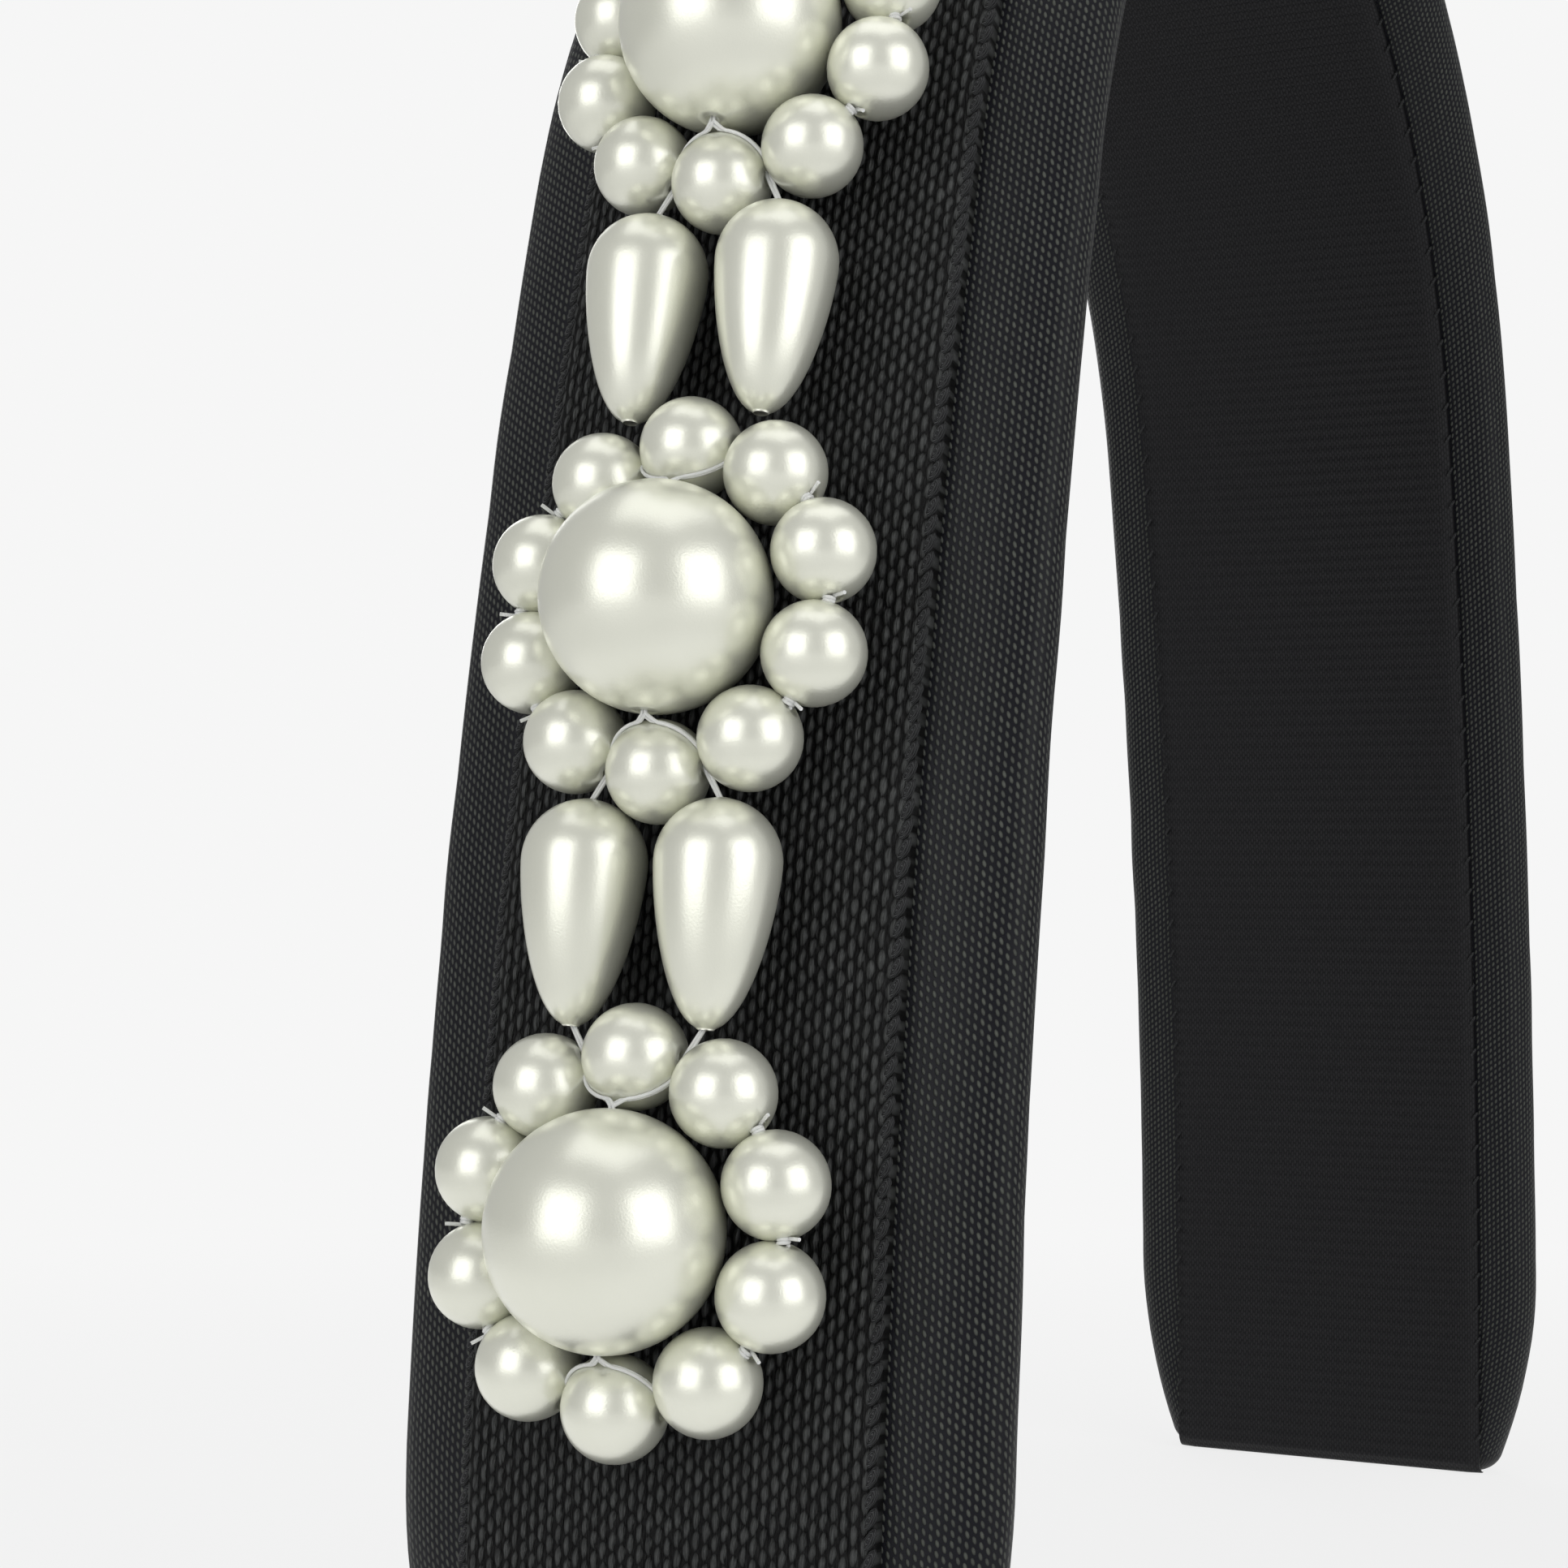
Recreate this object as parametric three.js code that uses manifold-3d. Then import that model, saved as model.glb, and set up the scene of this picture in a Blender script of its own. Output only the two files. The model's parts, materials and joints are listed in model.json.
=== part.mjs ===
// A padded headband with a chain of pearl flowers, standing on its two tips.
// Millimetres. +X runs ear to ear, +Y across the band, +Z up. The origin is on the ground, midway
// between the tips. A place on the band is (along, across, height): along the hoop from the crown,
// across its width, and outward from the middle of the core.
import * as THREE from 'three';
import { mergeVertices } from 'three/addons/utils/BufferGeometryUtils.js';
import Module from 'manifold-3d';

// Hoop
const CROWN_RADIUS = 57;          // of the arch over the head
const CROWN_HALF = 75;            // length of the arch on each side of the crown
const HALF_LENGTH = 178;          // from the crown to a tip
const SHOULDER_GAP = 0.3;         // between the crown part and a leg

// Band layers
const CLEARANCE = 0.3;            // between one layer and the next
const CORE_THICKNESS = 1.6;
const BAND_WIDTH = 40.9;
const CORE_MARGIN = 5.45;         // of pad beyond each edge of the core
const CORE_WIDTH = BAND_WIDTH - 2 * CORE_MARGIN;
const EDGE_HEIGHT = 1.3;          // of the band's widest line
const CROWNING = 3.7;             // rise of the pad from that line to the middle
const COVER_THICKNESS = 0.5;
const HEM_REACH = 9;              // how near the middle the cover's hems come
const LINING_OVERHANG = 0.5;      // beyond each edge of the core
const LINING_WIDTH = CORE_WIDTH + 2 * LINING_OVERHANG;
const CAP_INSET = 1;              // of the folded end from the lining's edge
const LINING_THICKNESS = 0.6;
const WEBBING_MARGIN = 6.7;       // of cover beside each edge of the webbing
const WEBBING_WIDTH = BAND_WIDTH - 2 * WEBBING_MARGIN;
const WEBBING_THICKNESS = 1.2;
const TIP_LENGTH = 20;            // stretch over which the band narrows to its tip
const TIP_WIDTH_SHARE = 0.8;
const TIP_HEIGHT_SHARE = 0.85;
const TIP_CAP_LENGTH = 2;         // of the folded end of the cover

// Pearl chain
const PEARL_RADIUS = 7;
const BEAD_RADIUS = 3.15;
const BEAD_COUNT = 10;
const PEARL_GAP = 0.2;            // between the large pearl and its ring
const RING_HEIGHT = 4.9;          // of the thread above the webbing
const FLOWER_COUNT = 9;
const DROP_LEAD = 2.0935039;      // of thread between a ring's knot and a drop
const DROP_RADIUS = 3.8;
const DROP_LENGTH = 13.6;
const DROP_GAP = 1.4;             // between the two drops of a pair
const DROP_END_RADIUS = 1.3;      // of the narrow end
const THREAD_RADIUS = 0.25;
const BORE_RADIUS = 0.6;

// Worked out
const CORE_TOP = CORE_THICKNESS / 2;
const HEM_TOP = -CORE_TOP - CLEARANCE;
const HEM_BOTTOM = HEM_TOP - COVER_THICKNESS;
const LINING_TOP = HEM_BOTTOM - CLEARANCE;
const WEBBING_TOP = EDGE_HEIGHT + CROWNING + CLEARANCE + WEBBING_THICKNESS;
const PEARL_HEIGHT = WEBBING_TOP + CLEARANCE + PEARL_RADIUS;
const CHAIN_HEIGHT = WEBBING_TOP + RING_HEIGHT;
const RING_RADIUS = Math.sqrt((PEARL_RADIUS + BEAD_RADIUS + PEARL_GAP) ** 2
  - (PEARL_HEIGHT - CHAIN_HEIGHT) ** 2);
const BEAD_STEP = 2 * Math.PI / BEAD_COUNT;
const DROP_ACROSS = DROP_RADIUS + DROP_GAP / 2;
const KNOT_RADIUS = RING_RADIUS * Math.cos(BEAD_STEP / 2);
const KNOT_ALONG = KNOT_RADIUS * Math.cos(BEAD_STEP / 2);
const KNOT_ACROSS = KNOT_RADIUS * Math.sin(BEAD_STEP / 2);
const FLOWER_SPACING = DROP_LENGTH + 2 * (KNOT_ALONG + DROP_LEAD);
// A strand that only passes a ring stops this far from its knot, clear of the two beads beside it.
const FREE_REACH = Math.sqrt((BEAD_RADIUS + THREAD_RADIUS + CLEARANCE) ** 2
  - (RING_RADIUS * Math.sin(BEAD_STEP / 2)) ** 2);
const LAST_FLOWER = (FLOWER_COUNT - 1) / 2;
const HINGE_FLOWER = LAST_FLOWER - 1;
const SHOULDER = HINGE_FLOWER * FLOWER_SPACING - KNOT_ALONG;

const ARCH_ANGLE = CROWN_HALF / CROWN_RADIUS;
const LEG_RADIUS = (HALF_LENGTH - CROWN_HALF) / (Math.PI / 2 - ARCH_ANGLE);
const CROWN_HEIGHT = CROWN_RADIUS * (1 - Math.cos(ARCH_ANGLE)) + LEG_RADIUS * Math.cos(ARCH_ANGLE);

const wasm = await Module();
wasm.setup();

const part = new THREE.Group();

// ---- the hoop's line: an arch over the crown, then two slightly bowed legs that end upright ----

function hoopAt(along) {
  const side = Math.sign(along);
  const length = Math.abs(along);
  if (length <= CROWN_HALF) {
    const angle = length / CROWN_RADIUS;
    return { x: side * CROWN_RADIUS * Math.sin(angle),
      z: CROWN_HEIGHT - CROWN_RADIUS * (1 - Math.cos(angle)), angle: side * angle };
  }
  const angle = ARCH_ANGLE + (length - CROWN_HALF) / LEG_RADIUS;
  const bow = Math.sin(angle) - Math.sin(ARCH_ANGLE);
  return { x: side * (CROWN_RADIUS * Math.sin(ARCH_ANGLE) + LEG_RADIUS * bow),
    z: LEG_RADIUS * Math.cos(angle), angle: side * angle };
}

function onHoop(along, across, height) {
  const at = hoopAt(along);
  return [at.x + height * Math.sin(at.angle), across, at.z + height * Math.cos(at.angle)];
}

function tipShare(along, endShare) {
  const into = Math.max(0, (Math.abs(along) - HALF_LENGTH + TIP_LENGTH) / TIP_LENGTH);
  return 1 - (1 - endShare) * Math.min(1, into) ** 2;
}

function layerPlace(along, across, height) {
  return [along, across * tipShare(along, TIP_WIDTH_SHARE), height * tipShare(along, TIP_HEIGHT_SHARE)];
}

// ---- outlines of the band's layers, across and height ----

function crownedHeight(across, halfWidth, rise) {
  const share = Math.min(1, Math.abs(across) / halfWidth);
  return EDGE_HEIGHT + rise * (1 - share ** 2.6) ** (1 / 2.6);
}

function topArc(halfWidth, rise, points) {
  const arc = [];
  for (let i = 0; i <= points; i++) {
    const turn = Math.PI * i / points;
    const across = halfWidth * Math.sign(Math.cos(turn)) * Math.abs(Math.cos(turn)) ** 0.8;
    arc.push(new THREE.Vector2(across, crownedHeight(across, halfWidth, rise)));
  }
  return arc;
}

function underArc(halfWidth, bottom, reach, points) {
  const arc = [];
  const drop = EDGE_HEIGHT - bottom;
  const corner = halfWidth - drop;
  for (let i = 1; i <= points; i++) {
    const turn = Math.PI / 2 * i / points;
    arc.push(new THREE.Vector2(-corner - drop * Math.cos(turn), EDGE_HEIGHT - drop * Math.sin(turn)));
  }
  arc.push(new THREE.Vector2(-reach, bottom));
  return arc;
}

function mirrored(points) {
  return points.map((point) => new THREE.Vector2(-point.x, point.y)).reverse();
}

function wrapOutline(inset, bottom, reach) {
  const halfWidth = BAND_WIDTH / 2 - inset;
  const under = underArc(halfWidth, bottom, reach, 3);
  return [...mirrored(under), ...topArc(halfWidth, CROWNING - inset, 10), ...under];
}

function rectangle(width, low, high) {
  return [[-1, low], [1, low], [1, high], [-1, high]].map(([side, height]) =>
    new THREE.Vector2(side * width / 2, height));
}

const coverOutline = [...wrapOutline(0, HEM_BOTTOM, HEM_REACH),
  ...wrapOutline(COVER_THICKNESS, HEM_TOP, HEM_REACH).reverse()];
const padInset = COVER_THICKNESS + CLEARANCE;
const padOutline = wrapOutline(padInset, CORE_TOP + CLEARANCE, CORE_WIDTH / 2);
const capOutline = wrapOutline(0, LINING_TOP - LINING_THICKNESS, LINING_WIDTH / 2 - CAP_INSET);
const webbingOutline = [0, WEBBING_THICKNESS].flatMap((level) => {
  const row = [-1, -0.75, -0.4, 0, 0.4, 0.75, 1].map((side) =>
    new THREE.Vector2(side * WEBBING_WIDTH / 2, level + CLEARANCE));
  return level ? row.reverse() : row;
});

// An outline swept along the hoop from one place to another, with each point put by place().
function sweep(outline, from, to, stepLength, place) {
  const steps = Math.max(1, Math.round((to - from) / stepLength));
  const geometry = new THREE.ExtrudeGeometry(new THREE.Shape(outline),
    { depth: to - from, steps, bevelEnabled: false });
  const spots = geometry.attributes.position;
  for (let i = 0; i < spots.count; i++) {
    const [along, across, height] = place(from + spots.getZ(i), spots.getX(i), spots.getY(i));
    spots.setXYZ(i, ...onHoop(along, across, height));
  }
  geometry.computeVertexNormals();
  return geometry;
}

function onCover(along, across, lift) {
  const width = tipShare(along, TIP_WIDTH_SHARE) * BAND_WIDTH / 2;
  const height = crownedHeight(across, width, CROWNING) * tipShare(along, TIP_HEIGHT_SHARE);
  return [along, across, height + lift];
}

// ---- materials ----

const plastic = new THREE.MeshStandardMaterial({ color: 0x1b1b1d, roughness: 0.5, metalness: 0 });
const foam = new THREE.MeshStandardMaterial({ color: 0x3a3a3c, roughness: 0.95, metalness: 0 });
const nylon = new THREE.MeshStandardMaterial({ color: 0x1d1f24, roughness: 0.55, metalness: 0 });
const lining = new THREE.MeshStandardMaterial({ color: 0x17181b, roughness: 0.8, metalness: 0 });
const webbing = new THREE.MeshStandardMaterial({ color: 0x1a1a1e, roughness: 0.7, metalness: 0 });
const pearl = new THREE.MeshStandardMaterial({ color: 0xd9d5c6, roughness: 0.25, metalness: 0.1 });

function addMesh(parent, name, geometry, material) {
  const mesh = new THREE.Mesh(geometry, material);
  mesh.name = name;
  parent.add(mesh);
  return mesh;
}

// ---- the band: a crown part and two legs, each of five layers, with a cap at each tip ----

const layers = [
  { name: 'core', outline: rectangle(CORE_WIDTH, -CORE_TOP, CORE_TOP), material: plastic },
  { name: 'pad', outline: padOutline, material: foam },
  { name: 'cover', outline: coverOutline, material: nylon },
  { name: 'lining', outline: rectangle(LINING_WIDTH, LINING_TOP - LINING_THICKNESS, LINING_TOP),
    material: lining },
];
const stretchEnd = HALF_LENGTH - TIP_CAP_LENGTH - CLEARANCE;
const stretches = [
  { name: 'left', from: -stretchEnd, to: -SHOULDER - SHOULDER_GAP / 2, step: 16 },
  { name: 'crown', from: -SHOULDER + SHOULDER_GAP / 2, to: SHOULDER - SHOULDER_GAP / 2, step: 10 },
  { name: 'right', from: SHOULDER + SHOULDER_GAP / 2, to: stretchEnd, step: 16 },
];

for (const stretch of stretches) {
  for (const layer of layers) {
    const geometry = sweep(layer.outline, stretch.from, stretch.to, stretch.step, layerPlace);
    addMesh(part, `${layer.name}_${stretch.name}`, geometry, layer.material);
  }
  const reach = (end) => (Math.abs(end) === stretchEnd ? Math.sign(end) * HALF_LENGTH : end);
  const strip = sweep(webbingOutline, reach(stretch.from), reach(stretch.to), stretch.step, onCover);
  addMesh(part, `webbing_${stretch.name}`, strip, webbing);
}

for (const [name, from] of [['left', -HALF_LENGTH], ['right', HALF_LENGTH - TIP_CAP_LENGTH]]) {
  const geometry = sweep(capOutline, from, from + TIP_CAP_LENGTH, TIP_CAP_LENGTH, layerPlace);
  addMesh(part, `tip_cap_${name}`, geometry, nylon);
}

// ---- the chain ----

// A body of revolution about its thread, which runs along +X, with the bore left open.
function boredBody(profile, segments) {
  const geometry = new THREE.LatheGeometry([...profile, profile[0]], segments);
  return geometry.rotateZ(-Math.PI / 2);
}

function pearlProfile() {
  const profile = [];
  const start = Math.asin(BORE_RADIUS / PEARL_RADIUS);
  const points = 8;
  for (let i = 0; i <= points; i++) {
    const turn = start + (Math.PI - 2 * start) * i / points;
    profile.push(new THREE.Vector2(PEARL_RADIUS * Math.sin(turn), -PEARL_RADIUS * Math.cos(turn)));
  }
  return profile;
}

// Fat at one end and drawn in to a small flat at the other.
function dropProfile() {
  const length = DROP_LENGTH;
  const outline = new THREE.CubicBezierCurve(
    new THREE.Vector2(DROP_END_RADIUS, length),
    new THREE.Vector2(DROP_RADIUS * 0.85, length * 0.86),
    new THREE.Vector2(DROP_RADIUS, length * 0.62),
    new THREE.Vector2(DROP_RADIUS, DROP_RADIUS));
  const profile = [];
  const start = Math.asin(BORE_RADIUS / DROP_RADIUS);
  for (let i = 0; i < 4; i++) {
    const turn = start + (Math.PI / 2 - start) * i / 4;
    const low = DROP_RADIUS * (1 - Math.cos(turn));
    profile.push(new THREE.Vector2(DROP_RADIUS * Math.sin(turn), low));
  }
  profile.push(...outline.getPoints(5).reverse(), new THREE.Vector2(BORE_RADIUS, length));
  return profile;
}

// A straight length of thread from one point to another.
function tube(from, to) {
  const run = new THREE.Vector3().subVectors(to, from);
  const geometry = new THREE.CylinderGeometry(THREAD_RADIUS, THREAD_RADIUS, run.length(), 3);
  const turn = new THREE.Quaternion().setFromUnitVectors(new THREE.Vector3(0, 1, 0),
    run.clone().normalize());
  geometry.applyQuaternion(turn);
  const middle = new THREE.Vector3().addVectors(from, to).multiplyScalar(0.5);
  return geometry.translate(middle.x, middle.y, middle.z);
}

// A bend of the thread, where two straight lengths meet.
function bend(at) {
  return new THREE.TetrahedronGeometry(THREAD_RADIUS * 1.6, 0).translate(at.x, at.y, at.z);
}

function solidOf(geometry) {
  const bare = geometry.index ? geometry.clone() : geometry;
  bare.deleteAttribute('normal');
  bare.deleteAttribute('uv');
  const merged = mergeVertices(bare, 1e-4);
  return new wasm.Manifold(new wasm.Mesh({ numProp: 3,
    vertProperties: new Float32Array(merged.attributes.position.array),
    triVerts: new Uint32Array(merged.index.array) }));
}

function joined(geometries) {
  let sum = solidOf(geometries[0]);
  for (const geometry of geometries.slice(1)) {
    sum = sum.add(solidOf(geometry));
  }
  const mesh = sum.getMesh();
  const geometry = new THREE.BufferGeometry();
  geometry.setAttribute('position', new THREE.BufferAttribute(mesh.vertProperties, 3));
  geometry.setIndex(new THREE.BufferAttribute(mesh.triVerts, 1));
  geometry.computeVertexNormals();
  return geometry;
}

function placeOnHoop(group, along) {
  const at = hoopAt(along);
  group.position.set(at.x, 0, at.z);
  group.rotation.y = at.angle;
  group.updateMatrixWorld();
  part.add(group);
}

// ---- where each pair of teardrops hangs, between flower i and the next ----

// The place of a ring's knot, or of a point farther out on the knot's own radius.
function knotOf(flower, end, side, farther) {
  const share = (KNOT_RADIUS + farther) / KNOT_RADIUS;
  const at = hoopAt(flowerAlong(flower));
  const knot = new THREE.Vector3(end * KNOT_ALONG * share, side * KNOT_ACROSS * share, CHAIN_HEIGHT);
  knot.applyAxisAngle(new THREE.Vector3(0, 1, 0), at.angle);
  return knot.add(new THREE.Vector3(at.x, 0, at.z));
}

function flowerAlong(flower) {
  return (flower - LAST_FLOWER) * FLOWER_SPACING;
}

function dropPlace(pair, side) {
  const start = knotOf(pair, 1, side, FREE_REACH);
  const finish = knotOf(pair + 1, -1, side, FREE_REACH);
  const run = new THREE.Vector3().subVectors(finish, start).normalize();
  const middle = new THREE.Vector3().addVectors(start, finish).multiplyScalar(0.5);
  middle.setY(side * DROP_ACROSS);
  const reach = run.clone().multiplyScalar(DROP_LENGTH / 2 + CLEARANCE);
  return { middle, tilt: Math.atan2(-run.z, run.x),
    thread: [start, middle.clone().sub(reach), middle.clone().add(reach), finish] };
}

// The pair's two strands, run on to the knots of the ring that ties them.
function pairStrands(pair, ring) {
  return [-1, 1].map((side) => {
    const points = dropPlace(pair, side).thread;
    if (ring === pair) {
      return [knotOf(ring, 1, side, 0), ...points.slice(1)];
    }
    return [...points.slice(0, 3), knotOf(ring, -1, side, 0)];
  });
}

// ---- flowers: a large pearl in a ring of small ones ----

// Ten small pearls on a loop of thread, with the strands that carry the large pearl through its bore
// and those that carry the teardrops on the side away from the crown.
function ringGeometry(strands) {
  const pieces = [];
  const beadPlace = (i) => new THREE.Vector3(RING_RADIUS * Math.cos(BEAD_STEP * i),
    RING_RADIUS * Math.sin(BEAD_STEP * i), CHAIN_HEIGHT);
  for (let i = 0; i < BEAD_COUNT; i++) {
    const at = beadPlace(i);
    pieces.push(new THREE.SphereGeometry(BEAD_RADIUS, 8, 4).translate(at.x, at.y, at.z));
    pieces.push(tube(at, beadPlace(i + 1)));
  }
  const pole = PEARL_RADIUS + THREAD_RADIUS;
  const poles = [-1, 1].map((end) => new THREE.Vector3(end * pole, 0, PEARL_HEIGHT));
  pieces.push(tube(...poles), ...poles.map(bend));
  for (const [end, side] of [[0, -1], [0, 1], [1, -1], [1, 1]]) {
    const along = poles[end].x > 0 ? KNOT_ALONG : -KNOT_ALONG;
    pieces.push(tube(poles[end], new THREE.Vector3(along, side * KNOT_ACROSS, CHAIN_HEIGHT)));
  }
  for (const points of strands) {
    pieces.push(bend(points[1]), bend(points[2]));
    pieces.push(...[0, 1, 2].map((i) => tube(points[i], points[i + 1])));
  }
  return joined(pieces);
}

const pearlShape = boredBody(pearlProfile(), 12);
for (let i = 0; i < FLOWER_COUNT; i++) {
  const flower = new THREE.Group();
  placeOnHoop(flower, flowerAlong(i));
  const pairs = [];
  if (i <= LAST_FLOWER && i > 0) {
    pairs.push(i - 1);
  }
  if (i >= LAST_FLOWER && i < FLOWER_COUNT - 1) {
    pairs.push(i);
  }
  const strands = pairs.flatMap((pair) => pairStrands(pair, i));
  const inFlower = strands.map((points) => points.map((point) => flower.worldToLocal(point)));
  addMesh(flower, `pearl_${i + 1}`, pearlShape, pearl).position.z = PEARL_HEIGHT;
  addMesh(flower, `ring_${i + 1}`, ringGeometry(inFlower), pearl);
}

// ---- teardrops: a pair between each two flowers, fat ends facing -X ----

const dropShape = boredBody(dropProfile(), 8);
for (let pair = 0; pair < FLOWER_COUNT - 1; pair++) {
  for (const side of [-1, 1]) {
    const { middle, tilt } = dropPlace(pair, side);
    const drop = new THREE.Group();
    drop.position.copy(middle);
    drop.rotation.y = tilt;
    part.add(drop);
    const mesh = addMesh(drop, `drop_${pair + 1}_${side < 0 ? 'a' : 'b'}`, dropShape, pearl);
    mesh.position.x = -DROP_LENGTH / 2;
  }
}

export default part;
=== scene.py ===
"""A padded nylon headband with a chain of pearl flowers, standing on its two tips."""
import json
import math

import bmesh
import bpy
from mathutils import Matrix, Vector, noise
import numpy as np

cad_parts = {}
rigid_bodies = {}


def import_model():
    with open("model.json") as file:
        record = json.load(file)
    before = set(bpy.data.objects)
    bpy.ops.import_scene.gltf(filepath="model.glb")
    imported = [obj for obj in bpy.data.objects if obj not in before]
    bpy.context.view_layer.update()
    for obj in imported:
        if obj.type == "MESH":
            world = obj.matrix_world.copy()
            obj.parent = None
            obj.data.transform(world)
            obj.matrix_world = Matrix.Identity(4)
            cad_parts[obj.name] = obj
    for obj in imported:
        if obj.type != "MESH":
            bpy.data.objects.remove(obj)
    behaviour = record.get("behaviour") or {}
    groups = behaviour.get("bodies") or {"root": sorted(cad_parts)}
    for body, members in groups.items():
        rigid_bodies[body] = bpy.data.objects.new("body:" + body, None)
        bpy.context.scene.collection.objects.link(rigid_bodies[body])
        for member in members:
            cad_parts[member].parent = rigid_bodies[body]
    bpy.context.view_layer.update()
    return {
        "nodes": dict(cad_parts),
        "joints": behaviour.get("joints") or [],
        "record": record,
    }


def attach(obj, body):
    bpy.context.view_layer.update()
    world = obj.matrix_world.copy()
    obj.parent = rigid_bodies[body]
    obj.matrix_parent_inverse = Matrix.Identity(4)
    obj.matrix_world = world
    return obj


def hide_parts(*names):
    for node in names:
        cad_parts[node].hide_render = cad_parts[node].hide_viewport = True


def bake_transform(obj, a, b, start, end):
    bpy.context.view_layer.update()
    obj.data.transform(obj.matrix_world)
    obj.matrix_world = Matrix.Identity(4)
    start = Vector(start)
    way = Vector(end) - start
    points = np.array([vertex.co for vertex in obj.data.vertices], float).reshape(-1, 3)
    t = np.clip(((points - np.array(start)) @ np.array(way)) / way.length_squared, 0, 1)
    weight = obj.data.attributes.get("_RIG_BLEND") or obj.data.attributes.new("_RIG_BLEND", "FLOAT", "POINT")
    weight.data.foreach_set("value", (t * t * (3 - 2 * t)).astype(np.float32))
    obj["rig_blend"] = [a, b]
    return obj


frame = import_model()
MM = 0.001

# ---- Camera ----
# It looks level at the outside of the right leg, from about 27 degrees round towards the band's edge.
camera = bpy.data.objects.new("camera", bpy.data.cameras.new("camera"))
bpy.context.scene.collection.objects.link(camera)
camera.location = (226 * MM, 83.9 * MM, 51.8 * MM)
camera.rotation_euler = [math.radians(turn) for turn in (93.08, -0.81, 116.56)]
camera.data.lens = 67
camera.data.clip_start = 0.01
bpy.context.scene.camera = camera
bpy.context.scene.view_settings.view_transform = "Standard"


# ---- Studio ----
# A pale table and a white surround, two soft boxes in front of the leg and one behind for the rims.
PAPER_WHITE = 0.922
SURROUND = 0.43


def new_material(name):
    made = bpy.data.materials.new(name)
    made.use_nodes = True
    return made, made.node_tree.nodes, made.node_tree.links


def seen_as_paper(tree, shader, surface_input, to_camera, to_gloss):
    """Shows plain paper white to the camera and in reflections, by the two shares."""
    rays = tree.nodes.new("ShaderNodeLightPath")
    paper = tree.nodes.new("ShaderNodeEmission")
    paper.inputs["Color"].default_value = (PAPER_WHITE,) * 3 + (1,)
    total = None
    for ray, share in (("Is Camera Ray", to_camera), ("Is Glossy Ray", to_gloss),
                       ("Is Transmission Ray", to_camera)):
        part = tree.nodes.new("ShaderNodeMath")
        part.operation = "MULTIPLY_ADD"
        tree.links.new(rays.outputs[ray], part.inputs[0])
        for value, socket in ((share, part.inputs[1]), (total, part.inputs[2])):
            if hasattr(value, "links"):
                tree.links.new(value, socket)
            else:
                socket.default_value = value or 0
        total = part.outputs[0]
    mix = tree.nodes.new("ShaderNodeMixShader")
    tree.links.new(total, mix.inputs["Fac"])
    tree.links.new(shader.outputs[0], mix.inputs[1])
    tree.links.new(paper.outputs[0], mix.inputs[2])
    tree.links.new(mix.outputs[0], surface_input)


def faded(tree, near, far, near_share, far_share):
    """A share that changes with the distance from the middle of the table."""
    place = tree.nodes.new("ShaderNodeTexCoord")
    reach = tree.nodes.new("ShaderNodeVectorMath")
    reach.operation = "LENGTH"
    tree.links.new(place.outputs["Object"], reach.inputs[0])
    fade = tree.nodes.new("ShaderNodeMapRange")
    fade.interpolation_type = "SMOOTHSTEP"
    tree.links.new(reach.outputs["Value"], fade.inputs["Value"])
    for socket, value in zip(fade.inputs[1:5], (near, far, near_share, far_share)):
        socket.default_value = value
    return fade.outputs[0]


world = bpy.data.worlds.new("studio")
bpy.context.scene.world = world
world.use_nodes = True
surround = world.node_tree.nodes["Background"]
surround.inputs["Color"].default_value = (SURROUND,) * 3 + (1,)
seen_as_paper(world.node_tree, surround, world.node_tree.nodes["World Output"].inputs["Surface"], 1, 0)

table_mesh = bmesh.new()
bmesh.ops.create_grid(table_mesh, x_segments=1, y_segments=1, size=1.5)
table = bpy.data.objects.new("table", bpy.data.meshes.new("table"))
table_mesh.to_mesh(table.data)
bpy.context.scene.collection.objects.link(table)
paper, nodes, links = new_material("table_paper")
nodes["Principled BSDF"].inputs["Base Color"].default_value = (0.85, 0.85, 0.85, 1)
nodes["Principled BSDF"].inputs["Roughness"].default_value = 0.9
seen_as_paper(paper.node_tree, nodes["Principled BSDF"], nodes["Material Output"].inputs["Surface"],
              faded(paper.node_tree, 0.1, 0.3, 0.87, 1), faded(paper.node_tree, 0.105, 0.17, 1, 0))
table.data.materials.append(paper)


def soft_box(name, place, aim, width, height, power):
    lamp = bpy.data.lights.new(name, "AREA")
    lamp.shape = "RECTANGLE"
    lamp.size, lamp.size_y, lamp.energy = width, height, power
    made = bpy.data.objects.new(name, lamp)
    made.location = place
    made.rotation_euler = (Vector(aim) - Vector(place)).to_track_quat("-Z", "Y").to_euler()
    bpy.context.scene.collection.objects.link(made)


middle = (0.05, 0, 0.08)
soft_box("box_left", (0.77, -0.16, 0.27), middle, 0.56, 0.56, 1.75)
soft_box("box_right", (0.24, 0.68, 0.27), middle, 0.56, 0.56, 1.75)
soft_box("box_top", (0, 0, 0.9), middle, 0.8, 0.8, 1.8)
soft_box("box_back", (-0.7, -0.5, 0.4), middle, 0.5, 0.5, 1.6)


# ---- Hoop ----
# A springy plastic strip: an arch over the head, and two slightly bowed legs that end upright.
# Every layer of the band is laid along its line.
ARCH_RADIUS = 57 * MM
ARCH_HALF = 75 * MM
HALF_LENGTH = 178 * MM
ARCH_ANGLE = ARCH_HALF / ARCH_RADIUS
LEG_RADIUS = (HALF_LENGTH - ARCH_HALF) / (math.pi / 2 - ARCH_ANGLE)
CROWN_HEIGHT = (ARCH_RADIUS * (1 - math.cos(ARCH_ANGLE)) + LEG_RADIUS * math.cos(ARCH_ANGLE))


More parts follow.
